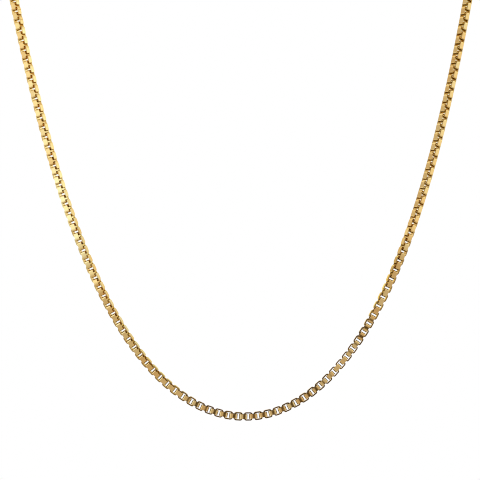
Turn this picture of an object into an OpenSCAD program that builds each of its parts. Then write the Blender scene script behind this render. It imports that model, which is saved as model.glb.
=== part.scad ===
// Box chain necklace, 18 inches round the loop, hanging as it does when worn.
// X runs to the right seen from the front, Y from the throat to the nape, Z is up.
// The origin is the neck's side of the clasp, at the nape, from which the chain hangs.

/* [Link] */
// Thickness of the flat gold strip that each link is bent from
strip_t = 0.3; // [0.26:0.01:0.34]
// Width of the strip
strip_w = 1.15; // [1.1:0.01:1.25]
// Length of one link, outside, along the chain
link_l = 2.07; // [2:0.01:2.15]
// Play along the chain between the end walls of two links pulled straight
link_play = 0.23; // [0.2:0.01:0.26]
// Play at each side of a strip in the next link's hole
side_play = 0.155; // [0.15:0.005:0.2]
// Radius of the bends at a link's four corners, inside
bend_r = 0.15; // [0.1:0.05:0.3]

/* [Front stretch] */
// Length of the stretch that hangs free, rounded to whole pairs of links
front_l = 255.5; // [225:0.5:270]
// Radius of the hanging curve at its lowest point
hang_r = 24; // [20:0.5:30]

/* [Nape stretch] */
// Depth of the loop, from the hanging plane back to the nape
loop_depth = 50; // [46:1:60]
// Height of the nape above the top of the hanging stretch
nape_rise = 30; // [24:1:34]
// Distance in which the chain turns back over the shoulder
shoulder_reach = 32; // [26:1:36]
// Distance in which the chain turns in behind the neck
nape_reach = 36; // [32:1:44]

/* [Clasp] */
// Diameter of the barrel
barrel_d = 3.2; // [2.8:0.1:4]
// Length of the barrel
barrel_l = 8; // [6:0.5:10]
// Radius of the barrel's rounded ends
barrel_round = 0.9; // [0.5:0.1:1.2]
// Thickness of the wire of the eye at each end
eye_wire = 0.6; // [0.5:0.05:0.7]
// Hole in each eye, wide enough for a link's end wall
eye_hole = 1.7; // [1.6:0.1:2.2]

/* [Hidden] */
// What the links leave each other, all round and from link to link
link_h = strip_w + 2 * side_play + 2 * strip_t;
pitch = link_l - 2 * strip_t - link_play;

// Each pair of links is one seen open and one seen closed
front_pairs = round(front_l / (2 * pitch));
front_n = 2 * front_pairs;

// Turn of the chain about its own length, in degrees outwards, at shares of half the front stretch
left_turn = [
    [0, -2], [0.12, -1], [0.16, 5], [0.2, 9], [0.24, 12], [0.32, 17],
    [0.4, 20], [0.52, 20], [0.6, 26], [0.68, 28], [1, 29]
];
right_turn = [
    [0, -2], [0.16, -1], [0.2, -5], [0.24, -5], [0.28, -1], [0.32, 1],
    [0.35, 6], [0.4, 10], [0.52, 33], [0.58, 39], [1, 39]
];

// Ends of the front stretch, along the curve, where the nape stretch starts a little play away
end_play = 0.15;
front_half = front_n * pitch / 2;
nape_start = front_half - pitch / 2 + link_l / 2 + end_play;
hang_y = -loop_depth;
hang_z = -nape_rise - sag(nape_start);

// The clasp lies behind the origin, with the barrel sunk a little into each eye's wire
clasp_y = barrel_d / 2;
eye_sink = 0.2;
eye_r = (eye_hole + eye_wire) / 2;
eye_x = barrel_l / 2 + eye_r + eye_wire / 2 - eye_sink;
nape_end = eye_x + eye_r + eye_wire / 2 + end_play;

// Rings of the nape stretch, two to three chain widths apart, and their azimuth at the nape
nape_rings = 21;
nape_turn = 180;

// The hanging curve is a catenary, by the distance s along it from its lowest point
function across(s) = hang_r * ln(s / hang_r + sqrt(pow(s / hang_r, 2) + 1));
function sag(s) = sqrt(pow(hang_r, 2) + pow(s, 2)) - hang_r;
function slope(s) = atan2(s, hang_r);
function turn(s) = lookup(abs(s) / front_half, s < 0 ? left_turn : right_turn);

function unit(v) = v / norm(v);

// The nape stretch on one side is a cubic curve from the hanging end to the clasp's eye
function nape_poles(side) =
    let(start = [side * across(nape_start), hang_y, -nape_rise])
    let(up = [side * cos(slope(nape_start)), 0, sin(slope(nape_start))])
    let(end = [side * nape_end, clasp_y, 0])
    [start, start + shoulder_reach * up, end + [side * nape_reach, 0, 0], end];
function along(p, t) =
    pow(1 - t, 3) * p[0] + 3 * t * pow(1 - t, 2) * p[1] + 3 * pow(t, 2) * (1 - t) * p[2] + pow(t, 3) * p[3];
function heading(p, t) =
    unit(pow(1 - t, 2) * (p[1] - p[0]) + 2 * t * (1 - t) * (p[2] - p[1]) + pow(t, 2) * (p[3] - p[2]));

// Eight corners round the outline that the crossed links fill, seen along the chain
function outline() =
    let(a = link_h / 2, b = strip_w / 2)
    [[a, b], [b, a], [-b, a], [-a, b], [-a, -b], [-b, -a], [b, -a], [a, -b]];
function nape_ring(side, t) =
    let(p = nape_poles(side), ahead = heading(p, t))
    let(start_turn = turn(side * front_half))
    let(azimuth = start_turn + (nape_turn - start_turn) * t)
    let(out = [side * sin(azimuth), -cos(azimuth), 0])
    let(flat = unit(out - (out * ahead) * ahead), edge = cross(ahead, flat))
    [for (q = outline()) along(p, t) + q[0] * flat + q[1] * edge];

module rounded_bar(length, height, radius) {
    square([length - 2 * radius, height], center = true);
    square([length, height - 2 * radius], center = true);
    for (x = [-1, 1], y = [-1, 1])
        translate([x * (length / 2 - radius), y * (height / 2 - radius)])
            circle(r = radius, $fn = 32);
}

// One link with its hole facing forwards and its length along X
module link() {
    rotate([90, 0, 0])
        linear_extrude(strip_w, center = true)
            difference() {
                rounded_bar(link_l, link_h, bend_r + strip_t);
                rounded_bar(link_l - 2 * strip_t, link_h - 2 * strip_t, bend_r);
            }
}

// Every second link is seen open, through its hole, and the others closed, a quarter turn round
module chain_front() {
    color("gold")
        for (i = [0 : front_n - 1]) {
            s = (i - (front_n - 1) / 2) * pitch;
            seen_open = (i - front_pairs) % 2 == 0;
            translate([across(s), hang_y, hang_z + sag(s)])
                rotate([0, -slope(s), 0])
                    rotate([turn(s) + (seen_open ? 0 : 90), 0, 0])
                        link();
        }
}

// One side of the nape stretch, as a tube of eight sides
module nape_tube(side) {
    sides = len(outline());
    last = nape_rings - 1;
    points = [for (k = [0 : last]) each nape_ring(side, k / last)];
    walls = [
        for (k = [0 : last - 1], j = [0 : sides - 1])
            let(next = (j + 1) % sides)
            [k * sides + j, (k + 1) * sides + j, (k + 1) * sides + next, k * sides + next]
    ];
    first_cap = [for (j = [0 : sides - 1]) j];
    last_cap = [for (j = [sides - 1 : -1 : 0]) last * sides + j];
    polyhedron(points, concat(walls, [first_cap, last_cap]));
}

module chain_back() {
    color("gold") {
        nape_tube(-1);
        nape_tube(1);
    }
}

module barrel() {
    rotate([0, 90, 0])
        rotate_extrude($fn = 48)
            intersection() {
                rounded_bar(barrel_d, barrel_l, barrel_round);
                translate([0, -barrel_l / 2])
                    square([barrel_d / 2, barrel_l]);
            }
}

module eye() {
    rotate_extrude($fn = 40)
        translate([eye_r, 0])
            circle(d = eye_wire, $fn = 24);
}

// The end links lie a quarter turn apart, so the eye on the left stands and the other lies flat
module clasp() {
    color("gold")
        translate([0, clasp_y, 0]) {
            barrel();
            translate([-eye_x, 0, 0])
                rotate([90, 0, 0])
                    eye();
            translate([eye_x, 0, 0])
                eye();
        }
}

chain_front();
chain_back();
clasp();
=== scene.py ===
"""Box chain necklace in polished yellow gold, hanging in its worn loop over a pale studio floor."""
import math
import random

import bmesh
import bpy
from mathutils import Matrix, Vector


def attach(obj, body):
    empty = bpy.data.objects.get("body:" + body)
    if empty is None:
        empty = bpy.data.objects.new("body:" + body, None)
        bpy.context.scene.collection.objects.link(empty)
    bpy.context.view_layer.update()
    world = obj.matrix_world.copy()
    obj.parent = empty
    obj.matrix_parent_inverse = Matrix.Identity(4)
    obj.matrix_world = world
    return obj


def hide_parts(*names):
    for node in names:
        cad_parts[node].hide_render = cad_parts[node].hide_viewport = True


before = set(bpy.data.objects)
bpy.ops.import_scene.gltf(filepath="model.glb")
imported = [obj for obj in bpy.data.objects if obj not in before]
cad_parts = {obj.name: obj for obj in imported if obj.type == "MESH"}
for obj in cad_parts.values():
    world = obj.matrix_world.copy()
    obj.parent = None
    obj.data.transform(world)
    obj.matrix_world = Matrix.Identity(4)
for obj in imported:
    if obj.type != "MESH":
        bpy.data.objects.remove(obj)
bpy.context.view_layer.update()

# Sizes are in millimetres, and the scene is in metres
MM = 0.001

# Smallest distance that counts
TINY = 0.0001

# Link: flat strip bent into a box and soldered shut, with play to the next link along and beside it
STRIP_T = 0.3
STRIP_W = 1.15
LINK_L = 2.07
LINK_PLAY = 0.23
SIDE_PLAY = 0.155
BEND_R = 0.15
BEND_STEPS = 2
LINK_H = STRIP_W + 2 * SIDE_PLAY + 2 * STRIP_T
PITCH = LINK_L - 2 * STRIP_T - LINK_PLAY

# A face is a cut edge or an end wall where at least this much of its normal points across or along
CUT_SLOPE = 0.9
END_SLOPE = 0.7

# How much the large faces rule the shading at their corners, out of 100, so that plates mirror as flats
FLAT_SHADING = 100

# Front stretch: whole pairs of links, hanging free in a catenary with this radius at its lowest point
FRONT_L = 255.5
FRONT_PAIRS = round(FRONT_L / (2 * PITCH))
FRONT_N = 2 * FRONT_PAIRS
FRONT_HALF = FRONT_N * PITCH / 2
HANG_R = 24.0

# Nape stretch: so many links on each side, back from the hanging plane over the shoulder to the clasp
NAPE_N = 76
LOOP_DEPTH = 50.0
NAPE_RISE = 30.0
SHOULDER_REACH = 32.0
NAPE_REACH = 36.0
END_PLAY = 0.15

# Azimuth that the flat faces reach at the nape, in degrees round from the front
NAPE_TURN = 180.0

# Steps of the links' route: on from the front stretch's last link, and along the nape's cubic curve
LEAD_STEPS = 20
NAPE_STEPS = 4000

# Clasp: a barrel with an eye at each end
BARREL_D = 3.2
BARREL_L = 8.0
BARREL_ROUND = 0.9
BARREL_SIDES = 48
ROUND_STEPS = 6
EYE_WIRE = 0.6
EYE_HOLE = 1.7
EYE_SINK = 0.2
WIRE_SIDES = 12
EYE_STEPS = 32
EYE_R = (EYE_HOLE + EYE_WIRE) / 2
EYE_X = BARREL_L / 2 + EYE_R + EYE_WIRE / 2 - EYE_SINK
CLASP_Y = BARREL_D / 2

# How far the flat faces have turned outwards: share of half the front stretch, degrees
LEFT_TURN = [
    (0, -2), (0.12, -1), (0.16, 5), (0.2, 9), (0.24, 12), (0.32, 17),
    (0.4, 20), (0.52, 20), (0.6, 26), (0.68, 28), (1, 29),
]
RIGHT_TURN = [
    (0, -2), (0.16, -1), (0.2, -5), (0.24, -5), (0.28, -1), (0.32, 1),
    (0.35, 6), (0.4, 10), (0.52, 33), (0.58, 39), (1, 39),
]

# How far the near faces lean up, or down below zero: share of half the front stretch, degrees
LEFT_LEAN = [
    (0, 0), (0.1, 0), (0.2, -3), (0.3, -5), (0.42, -5), (0.55, -3), (0.7, -2), (0.85, 0), (1, 0),
]
RIGHT_LEAN = [(0, 0), (0.3, 0), (0.36, 3), (0.45, 4.5), (1, 4.5)]

# Painted shade and satin on ends and cut edges fade towards the neck: share of half the front stretch, share
# of them left
LEFT_SHADE_AND_SATIN = [(0, 1), (0.1, 0.9), (0.25, 0.5), (0.45, 0.35), (0.6, 0.35), (0.75, 0.3), (1, 0.25)]
RIGHT_SHADE_AND_SATIN = [(0, 1), (0.25, 0.95), (0.4, 0.6), (0.55, 0.46), (1, 0.43)]

# Each link also leans at random in the slack, by up to these degrees about its own axes
SLACK = 1.5
FRONT_SEED = 11
NAPE_SEED = 20


def sag(s):
    """Height of the hanging curve at s, the distance along it from its lowest point."""
    return math.sqrt(HANG_R ** 2 + s ** 2) - HANG_R


def across(s):
    """How far to the side the hanging curve is at s."""
    return HANG_R * math.asinh(s / HANG_R)


NAPE_START = FRONT_HALF - PITCH / 2 + LINK_L / 2 + END_PLAY
NAPE_END = EYE_X + EYE_R + EYE_WIRE / 2 + END_PLAY
HANG_Z = -NAPE_RISE - sag(NAPE_START)


# Camera: long lens, square on to the hanging plane, with the chain's lowest point where the photograph
# has it, in pixels from the top left
PHOTO_MM_PER_PX = 0.2496
PHOTO_PX = 480
PHOTO_LOWEST = (245.75, 416.4)
PHOTO_ROLL = math.radians(0.6)
CAMERA_DISTANCE = 400.0
SENSOR = 36.0
NEAR_CLIP = 50.0

# Width in pixels that the render's filter blurs over, as sharp as the photograph
PIXEL_FILTER = 1.0


def make_camera():
    right = PHOTO_PX / 2 - PHOTO_LOWEST[0]
    up = PHOTO_LOWEST[1] - PHOTO_PX / 2
    turned = Matrix.Rotation(-PHOTO_ROLL, 2) @ Vector((right, up))
    aim = Vector((turned.x * PHOTO_MM_PER_PX, -LOOP_DEPTH, HANG_Z + turned.y * PHOTO_MM_PER_PX))
    data = bpy.data.cameras.new("camera")
    data.sensor_width = SENSOR
    data.lens = SENSOR * CAMERA_DISTANCE / (PHOTO_PX * PHOTO_MM_PER_PX)
    data.clip_start = NEAR_CLIP * MM
    camera = bpy.data.objects.new("camera", data)
    camera.location = (aim - Vector((0, CAMERA_DISTANCE, 0))) * MM
    camera.rotation_euler = (math.radians(90), PHOTO_ROLL, 0)
    bpy.context.scene.collection.objects.link(camera)
    bpy.context.scene.camera = camera


def linear(hex_colour):
    """An sRGB hex colour as linear RGBA."""
    channels = [int(hex_colour[i:i + 2], 16) / 255 for i in (1, 3, 5)]
    return [c / 12.92 if c <= 0.04045 else ((c + 0.055) / 1.055) ** 2.4 for c in channels] + [1]


def add(tree, kind, values=None, stops=(), **settings):
    """One node: settings are its own options, values its sockets' numbers or the sockets that feed
    them, and stops a colour ramp's places and hex colours."""
    node = tree.nodes.new(kind)
    for name, value in settings.items():
        setattr(node, name, value)
    for name, value in (values or {}).items():
        if isinstance(value, bpy.types.NodeSocket):
            tree.links.new(value, node.inputs[name])
        else:
            node.inputs[name].default_value = value
    for number, (place, colour) in enumerate(stops):
        elements = node.color_ramp.elements
        element = elements[number] if number < len(elements) else elements.new(1)
        element.position = place
        element.color = linear(colour)
    return node


def new_material(name):
    material = bpy.data.materials.new(name)
    material.use_nodes = True
    tree = material.node_tree
    tree.nodes.clear()
    shader = add(tree, "ShaderNodeBsdfPrincipled")
    output = add(tree, "ShaderNodeOutputMaterial")
    tree.links.new(shader.outputs["BSDF"], output.inputs["Surface"])
    return material, tree, shader


# Gold: its shades from link to link, the clasp's place among them, and its tint at a glancing angle
GOLD_SHADES = [(0, "#F3CE8A"), (0.5, "#F7DA97"), (1, "#F9E3A7")]
CLASP_SHADE = 0.5
GLANCING_GOLD = "#F7DA97"

# Painted shade: brown that stands in for the shade in the gaps between links, and how much of it, with satin
# roughness, a link's ends and cut edges show. The ends have more than the whole, so that they stay brown
# where the cut edges have lost most of their painted shade towards the neck
PAINTED_SHADE_GOLD = "#7A5D16"
END_SHADE_AND_SATIN = 1.8
CUT_SHADE_AND_SATIN = 0.9

# Roughness of the polished faces, least and most, and what the full satin of ends and cut edges adds to it
POLISH = (0.08, 0.16)
SATIN = 0.1

# Fine scuffs in the polish, drawn from the middle of the noise's range
SCUFF_SIZE = 0.5
SCUFF_DEPTH = 0.02
SCUFF_STRENGTH = 0.08
SCUFF_OCTAVES = 3
NOISE_SPAN = (0.3, 0.7)


def polished_gold():
    """14 karat yellow gold strip, tumbled and polished: broad faces that mirror the room in warm
    yellow, slightly blurred by fine scuffs, and satin ends and cut edges with brown painted shade of the
    gaps between links."""
    material, tree, shader = new_material("polished_14k_gold")
    place = add(tree, "ShaderNodeTexCoord").outputs["Object"]
    tone = add(tree, "ShaderNodeAttribute", attribute_name="tone").outputs["Fac"]
    satin_and_shade = add(tree, "ShaderNodeAttribute", attribute_name="satin_and_shade").outputs["Fac"]

    alloy = add(tree, "ShaderNodeValToRGB", {"Fac": tone}, GOLD_SHADES).outputs["Color"]
    # Ends and cut edges are mixed towards brown: painted shade of the gaps between links
    colour = add(tree, "ShaderNodeMix", {"Factor": satin_and_shade, 6: alloy, 7: linear(PAINTED_SHADE_GOLD)}, data_type="RGBA")
    tree.links.new(colour.outputs[2], shader.inputs["Base Color"])

    scuffs = add(tree, "ShaderNodeTexNoise", {
        "Vector": place, "Scale": 1 / (SCUFF_SIZE * MM), "Detail": SCUFF_OCTAVES})
    scuffed = add(tree, "ShaderNodeMapRange", {
        "Value": scuffs.outputs["Fac"], "From Min": NOISE_SPAN[0], "From Max": NOISE_SPAN[1],
        "To Min": POLISH[0], "To Max": POLISH[1]})
    # The same mark also makes ends and cut edges rougher, a real satin finish
    satin = add(tree, "ShaderNodeMath", {0: satin_and_shade, 1: SATIN}, operation="MULTIPLY")
    rough = add(tree, "ShaderNodeMath", {0: scuffed.outputs["Result"], 1: satin.outputs[0]}, operation="ADD")
    tree.links.new(rough.outputs[0], shader.inputs["Roughness"])

    bump = add(tree, "ShaderNodeBump", {
        "Height": scuffs.outputs["Fac"], "Strength": SCUFF_STRENGTH, "Distance": SCUFF_DEPTH * MM})
    tree.links.new(bump.outputs["Normal"], shader.inputs["Normal"])
    shader.inputs["Metallic"].default_value = 1
    shader.inputs["Specular Tint"].default_value = linear(GLANCING_GOLD)
    return material


# Floor board: broad faint clouds in its white
BOARD_WHITES = [(0, "#F0F0EF"), (1, "#F6F6F5")]
BOARD_CLOUD = 40.0
BOARD_OCTAVES = 2
BOARD_ROUGHNESS = 0.9


def white_board():
    """Seamless card board, matt coated: an even white with no gloss."""
    material, tree, shader = new_material("white_board")
    place = add(tree, "ShaderNodeTexCoord").outputs["Object"]
    clouds = add(tree, "ShaderNodeTexNoise", {
        "Vector": place, "Scale": 1 / (BOARD_CLOUD * MM), "Detail": BOARD_OCTAVES})
    colour = add(tree, "ShaderNodeValToRGB", {"Fac": clouds.outputs["Fac"]}, BOARD_WHITES)
    tree.links.new(colour.outputs["Color"], shader.inputs["Base Color"])
    shader.inputs["Roughness"].default_value = BOARD_ROUGHNESS
    return material


def as_mesh(name, bm):
    """The finished bmesh as a mesh."""
    mesh = bpy.data.meshes.new(name)
    bm.to_mesh(mesh)
    bm.free()
    return mesh


def lay(bm, part, matrix):
    """Adds a copy of a part in millimetres to a bmesh in metres, and returns its vertices and faces."""
    first_vert = len(bm.verts)
    first_face = len(bm.faces)
    bm.from_mesh(part)
    bm.verts.ensure_lookup_table()
    bm.faces.ensure_lookup_table()
    verts = bm.verts[first_vert:]
    bmesh.ops.transform(bm, matrix=Matrix.Scale(MM, 4) @ matrix, verts=verts)
    return verts, bm.faces[first_face:]


def link_mesh():
    """One link in millimetres, with its length along X and its hole facing Y."""
    bm = bmesh.new()
    bmesh.ops.create_cube(bm, size=1)
    bmesh.ops.scale(bm, vec=(LINK_L, STRIP_W, LINK_H), verts=bm.verts)
    corners = [e for e in bm.edges if abs(e.verts[0].co.y - e.verts[1].co.y) > STRIP_W / 2]
    bmesh.ops.bevel(bm, geom=corners, offset=BEND_R + STRIP_T, offset_type="OFFSET", segments=BEND_STEPS,
                    profile=0.5, affect="EDGES", material=-1)
    sides = [f for f in bm.faces if abs(f.normal.y) > CUT_SLOPE]
    bmesh.ops.delete(bm, geom=sides, context="FACES")
    bmesh.ops.recalc_face_normals(bm, faces=bm.faces)
    outside = set(bm.verts)
    bmesh.ops.solidify(bm, geom=bm.faces, thickness=STRIP_T)
    satin_and_shade = bm.faces.layers.float.new("satin_and_shade")
    for face in bm.faces:
        face.smooth = True
        # Cut edges and outer end walls carry the satin roughness and the brown painted shade of the gaps
        # between links
        if abs(face.normal.y) > CUT_SLOPE:
            face[satin_and_shade] = CUT_SHADE_AND_SATIN
            for edge in face.edges:
                edge.smooth = abs(edge.verts[0].co.y) < STRIP_W / 2 - TINY
        elif abs(face.normal.x) > END_SLOPE and any(vert in outside for vert in face.verts):
            face[satin_and_shade] = END_SHADE_AND_SATIN
    return as_mesh("link", bm)


def read_off(table, s):
    """A table's value at s, between its rows."""
    share = abs(s) / FRONT_HALF
    for (low, start), (high, end) in zip(table, table[1:]):
        if share <= high:
            return start + (end - start) * (share - low) / (high - low)
    return table[-1][1]


def turn(s):
    """Turn of the chain about its own length at s, in degrees outwards."""
    return read_off(LEFT_TURN if s < 0 else RIGHT_TURN, s)


def lean(s):
    """Lean at s of the link's near face, in degrees towards the chain's right end."""
    return -read_off(LEFT_LEAN, s) if s < 0 else read_off(RIGHT_LEAN, s)


def shade_and_satin_left(s):
    """What is left at s of the painted shade and satin on ends and cut edges."""
    return read_off(LEFT_SHADE_AND_SATIN if s < 0 else RIGHT_SHADE_AND_SATIN, s)


def placed(point, ahead, out):
    """Matrix that lays a link's X along the chain and its Y away from the side that faces out."""
    ahead = ahead.normalized()
    back = -(out - out.dot(ahead) * ahead).normalized()
    up = ahead.cross(back)
    turned = Matrix((ahead, back, up)).transposed().to_4x4()
    return Matrix.Translation(point) @ turned


def front_places():
    """The front stretch's links from left to right: matrix, whether it is seen open, and how much painted
    shade and satin its ends and cut edges keep.
    """
    near = Vector((0, -1, 0))
    for i in range(FRONT_N):
        s = (i - (FRONT_N - 1) / 2) * PITCH
        slope = math.atan2(s, HANG_R)
        ahead = Vector((math.cos(slope), 0, math.sin(slope)))
        point = Vector((across(s), -LOOP_DEPTH, HANG_Z + sag(s)))
        out = Matrix.Rotation(math.radians(turn(s)), 3, ahead) @ near
        leaning = Matrix.Rotation(math.radians(lean(s)), 4, near.cross(ahead))
        matrix = Matrix.Translation(point) @ leaning @ Matrix.Translation(-point) @ placed(point, ahead, out)
        yield matrix, (i - FRONT_PAIRS) % 2 == 0, shade_and_satin_left(s)


def nape_poles(side):
    """Poles of the cubic curve from the hanging end to the clasp's eye on one side."""
    slope = math.atan2(NAPE_START, HANG_R)
    start = Vector((side * across(NAPE_START), -LOOP_DEPTH, -NAPE_RISE))
    end = Vector((side * NAPE_END, CLASP_Y, 0))
    up = Vector((side * math.cos(slope), 0, math.sin(slope)))
    return start, start + SHOULDER_REACH * up, end + Vector((side * NAPE_REACH, 0, 0)), end


def nape_route(side):
    """Points from the front stretch's last link to the last one before the clasp, each with its share
    of the cubic curve and its distance along the route."""
    a, b, c, d = nape_poles(side)
    last = (FRONT_N - 1) / 2 * PITCH
    points = []
    shares = []
    for k in range(LEAD_STEPS):
        s = last + (NAPE_START - last) * k / LEAD_STEPS
        points.append(Vector((side * across(s), -LOOP_DEPTH, HANG_Z + sag(s))))
        shares.append(0.0)
    for k in range(NAPE_STEPS + 1):
        t = k / NAPE_STEPS
        points.append((1 - t) ** 3 * a + 3 * t * (1 - t) ** 2 * b + 3 * t ** 2 * (1 - t) * c + t ** 3 * d)
        shares.append(t)
    hooked = EYE_X + EYE_HOLE / 2 - LINK_PLAY / 2 + LINK_L / 2 - STRIP_T
    points.append(Vector((side * hooked, CLASP_Y, 0)))
    shares.append(1.0)
    lengths = [0.0]
    for before, after in zip(points, points[1:]):
        lengths.append(lengths[-1] + (after - before).length)
    return points, shares, lengths


def nape_places(side):
    """One side's links from the front stretch to the clasp, as in front_places."""
    points, shares, lengths = nape_route(side)
    start_turn = turn(side * FRONT_HALF)
    k = 0
    for i in range(1, NAPE_N + 1):
        target = lengths[-1] * i / NAPE_N
        while k < len(lengths) - 2 and lengths[k + 1] < target:
            k += 1
        part = (target - lengths[k]) / (lengths[k + 1] - lengths[k])
        point = points[k].lerp(points[k + 1], part)
        share = shares[k] + (shares[k + 1] - shares[k]) * part
        ahead = (points[k + 1] - points[k]) * side
        azimuth = math.radians(start_turn + (NAPE_TURN - start_turn) * share)
        out = Vector((side * math.sin(azimuth), -math.cos(azimuth), 0))
        number = FRONT_N - 1 + i if side > 0 else -i
        yield placed(point, ahead, out), (number - FRONT_PAIRS) % 2 == 0, shade_and_satin_left(side * FRONT_HALF)


def show(name, mesh, material):
    """A piece in the scene, with its plates shaded flat and its bends round."""
    piece = bpy.data.objects.new(name, mesh)
    mesh.materials.append(material)
    bpy.context.scene.collection.objects.link(piece)
    even = piece.modifiers.new("even_normals", "WEIGHTED_NORMAL")
    even.keep_sharp = True
    even.weight = FLAT_SHADING
    return piece


def strand(name, places, material, seed):
    """One joined mesh of links, each leaning a little, with its own shade of the alloy."""
    draw = random.Random(seed)
    link = link_mesh()
    bm = bmesh.new()
    tone = bm.verts.layers.float.new("tone")
    satin_and_shade = bm.faces.layers.float.new("satin_and_shade")
    for place, seen_open, kept_shade_and_satin in places:
        matrix = place @ Matrix.Rotation(0 if seen_open else math.radians(90), 4, "X")
        for axis in "XYZ":
            matrix = matrix @ Matrix.Rotation(math.radians(draw.uniform(-SLACK, SLACK)), 4, axis)
        shade = draw.random()
        verts, faces = lay(bm, link, matrix)
        for vert in verts:
            vert[tone] = shade
        # Ends and cut edges keep only this share of their painted shade and satin
        for face in faces:
            face[satin_and_shade] *= kept_shade_and_satin
    bpy.data.meshes.remove(link)
    return show(name, as_mesh(name, bm), material)


def barrel_mesh():
    """Turned barrel with rounded ends in millimetres, lying along X."""
    bm = bmesh.new()
    bmesh.ops.create_cone(bm, cap_ends=True, segments=BARREL_SIDES, radius1=BARREL_D / 2,
                          radius2=BARREL_D / 2, depth=BARREL_L)
    rims = [e for e in bm.edges if abs(e.verts[0].co.z - e.verts[1].co.z) < TINY]
    bmesh.ops.bevel(bm, geom=rims, offset=BARREL_ROUND, offset_type="OFFSET", segments=ROUND_STEPS,
                    profile=0.5, affect="EDGES", material=-1)
    bmesh.ops.rotate(bm, matrix=Matrix.Rotation(math.radians(90), 3, "Y"), verts=bm.verts)
    return as_mesh("barrel", bm)


def eye_mesh():
    """Round wire bent into a closed eye in millimetres, lying flat."""
    bm = bmesh.new()
    section = bmesh.ops.create_circle(bm, segments=WIRE_SIDES, radius=EYE_WIRE / 2)["verts"]
    bmesh.ops.rotate(bm, matrix=Matrix.Rotation(math.radians(90), 3, "X"), verts=section)
    bmesh.ops.translate(bm, vec=(EYE_R, 0, 0), verts=section)
    bmesh.ops.spin(bm, geom=bm.edges[:], cent=(0, 0, 0), axis=(0, 0, 1), angle=math.radians(360),
                   steps=EYE_STEPS, use_merge=True)
    bmesh.ops.recalc_face_normals(bm, faces=bm.faces)
    return as_mesh("eye", bm)


def clasp_mesh():
    """The barrel with an eye soldered to each end, the left one standing and the right one flat."""
    barrel = barrel_mesh()
    eye = eye_mesh()
    bm = bmesh.new()
    for part, side, stand in ((barrel, 0, 0), (eye, -1, 90), (eye, 1, 0)):
        place = Matrix.Translation((side * EYE_X, CLASP_Y, 0))
        lay(bm, part, place @ Matrix.Rotation(math.radians(stand), 4, "X"))
    for face in bm.faces:
        face.smooth = True
    tone = bm.verts.layers.float.new("tone")
    for vert in bm.verts:
        vert[tone] = CLASP_SHADE
    bpy.data.meshes.remove(barrel)
    bpy.data.meshes.remove(eye)
    return as_mesh("barrel_clasp", bm)


# Studio: white backdrop, white floor well below the chain, a soft box at each side and one overhead
BACKDROP = "#FFFFFF"
FLOOR_SIZE = 1200.0
FLOOR_CELLS = 8
FLOOR_DROP = 400.0
SOFT_BOX_W = 700.0

# Soft boxes: name, place, watts
SOFT_BOXES = [
    ("left_box", (-900, -500, 0), 1),
    ("right_box", (900, -500, 0), 1.5),
    ("top_box", (0, -200, 900), 1.5),
]

# The room that the gold mirrors, in degrees round from the lens, left negative: a dim wall in front,
# pale walls with a window at each side, dim corners on the left, and the sky behind
ROOM_BRIGHTEST = 2.0
DIM_WALL = "#938980"
PALE_WALL = "#B7B2AA"
WINDOW = "#C9D3D9"
SKY = "#AEBCE0"
ROOM = [
    (-180, SKY), (-155, WINDOW), (-140, DIM_WALL), (-110, PALE_WALL), (-95, DIM_WALL), (-65, PALE_WALL),
    (-60, WINDOW), (-48, WINDOW), (-42, DIM_WALL), (45, DIM_WALL), (75, PALE_WALL), (100, PALE_WALL),
    (110, WINDOW), (122, WINDOW), (135, PALE_WALL), (155, SKY), (180, SKY),
]

# The walls lean, so that from level to straight up everything in them moves round by this angle
ROOM_SLANT = math.radians(12)

# Pale ceiling and tan ground, each between the heights on a unit sphere where it starts and is full
CEILING = "#C0BBB0"
CEILING_RISE = (0.45, 0.75)
GROUND = "#958B7C"
GROUND_FALL = (-0.36, -0.55)

# The dark round of the lens: where it is, and the angles from its middle where it starts to fade and ends
LENS = "#382C14"
LENS_SIDE = (0.07, -1.0, -0.06)
LENS_SPREAD = (5.5, 6.5)


def make_floor():
    bm = bmesh.new()
    bmesh.ops.create_grid(bm, x_segments=FLOOR_CELLS, y_segments=FLOOR_CELLS, size=FLOOR_SIZE / 2 * MM)
    bmesh.ops.translate(bm, vec=(0, -LOOP_DEPTH * MM, (HANG_Z - FLOOR_DROP) * MM), verts=bm.verts)
    mesh = as_mesh("studio_floor", bm)
    floor = bpy.data.objects.new("studio_floor", mesh)
    mesh.materials.append(white_board())
    bpy.context.scene.collection.objects.link(floor)
    floor.visible_glossy = False


def soft_box(name, place, watts):
    """An area light that faces the middle of the hanging chain, and that the gold doesn't mirror."""
    data = bpy.data.lights.new(name, "AREA")
    data.size = SOFT_BOX_W * MM
    data.energy = watts
    light = bpy.data.objects.new(name, data)
    light.location = Vector(place) * MM
    target = Vector((0, -LOOP_DEPTH, HANG_Z / 2)) * MM
    light.rotation_euler = (target - light.location).to_track_quat("-Z", "Y").to_euler()
    light.visible_glossy = False
    bpy.context.scene.collection.objects.link(light)


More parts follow.
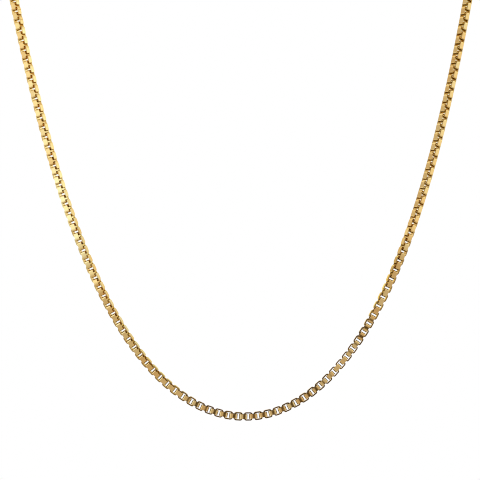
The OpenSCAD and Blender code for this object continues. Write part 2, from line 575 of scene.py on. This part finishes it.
def room_colour(tree, direction):
    """The room's colour in a direction: walls and windows, ceiling, ground and the dark of the lens."""
    parts = add(tree, "ShaderNodeSeparateXYZ", {"Vector": direction})
    front = add(tree, "ShaderNodeMath", {0: parts.outputs["Y"], 1: -1.0}, operation="MULTIPLY").outputs[0]
    level = add(tree, "ShaderNodeMath", {0: parts.outputs["X"], 1: front}, operation="ARCTAN2").outputs[0]
    slanted = add(tree, "ShaderNodeMath", {0: parts.outputs["Z"], 1: ROOM_SLANT, 2: level},
                  operation="MULTIPLY_ADD").outputs[0]
    share = add(tree, "ShaderNodeMapRange", {"Value": slanted, "From Min": -math.pi, "From Max": math.pi})
    stops = [(degrees / 360 + 0.5, colour) for degrees, colour in ROOM]
    room = add(tree, "ShaderNodeValToRGB", {"Fac": share.outputs["Result"]}, stops).outputs["Color"]
    for colour, (start, end) in ((CEILING, CEILING_RISE), (GROUND, GROUND_FALL)):
        reach = add(tree, "ShaderNodeMapRange", {
            "Value": parts.outputs["Z"], "From Min": start, "From Max": end})
        room = add(tree, "ShaderNodeMix", {"Factor": reach.outputs["Result"], 6: room, 7: linear(colour)},
                   data_type="RGBA").outputs[2]
    middle = Vector(LENS_SIDE).normalized()
    ahead = add(tree, "ShaderNodeVectorMath", {0: direction, 1: middle}, operation="DOT_PRODUCT")
    near, far = (math.cos(math.radians(angle)) for angle in LENS_SPREAD)
    dark = add(tree, "ShaderNodeMapRange", {
        "Value": ahead.outputs["Value"], "From Min": far, "From Max": near})
    return add(tree, "ShaderNodeMix", {"Factor": dark.outputs["Result"], 6: room, 7: linear(LENS)},
               data_type="RGBA").outputs[2]


def make_world():
    """White behind the object, while the gold mirrors the room."""
    world = bpy.data.worlds.new("studio")
    world.use_nodes = True
    bpy.context.scene.world = world
    tree = world.node_tree
    tree.nodes.clear()
    direction = add(tree, "ShaderNodeTexCoord").outputs["Generated"]
    room = room_colour(tree, direction)
    seen = add(tree, "ShaderNodeLightPath").outputs["Is Camera Ray"]
    mirrored = add(tree, "ShaderNodeBackground", {"Color": room, "Strength": ROOM_BRIGHTEST})
    plain = add(tree, "ShaderNodeBackground", {"Color": linear(BACKDROP), "Strength": 1.0})
    both = add(tree, "ShaderNodeMixShader", {0: seen, 1: mirrored.outputs[0], 2: plain.outputs[0]})
    output = add(tree, "ShaderNodeOutputWorld")
    tree.links.new(both.outputs[0], output.inputs["Surface"])


make_camera()
bpy.context.scene.view_settings.view_transform = "Standard"
bpy.context.scene.cycles.filter_width = PIXEL_FILTER

gold = polished_gold()
front = strand("front_links", front_places(), gold, FRONT_SEED)
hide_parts("chain_front")
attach(front, "root")

for side, side_name in ((-1, "left"), (1, "right")):
    nape = strand("nape_links_" + side_name, nape_places(side), gold, NAPE_SEED + side)
    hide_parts("chain_back")
    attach(nape, "root")

clasp = show("barrel_clasp", clasp_mesh(), gold)
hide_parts("clasp")
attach(clasp, "root")

make_floor()
make_world()
for name, place, watts in SOFT_BOXES:
    soft_box(name, place, watts)
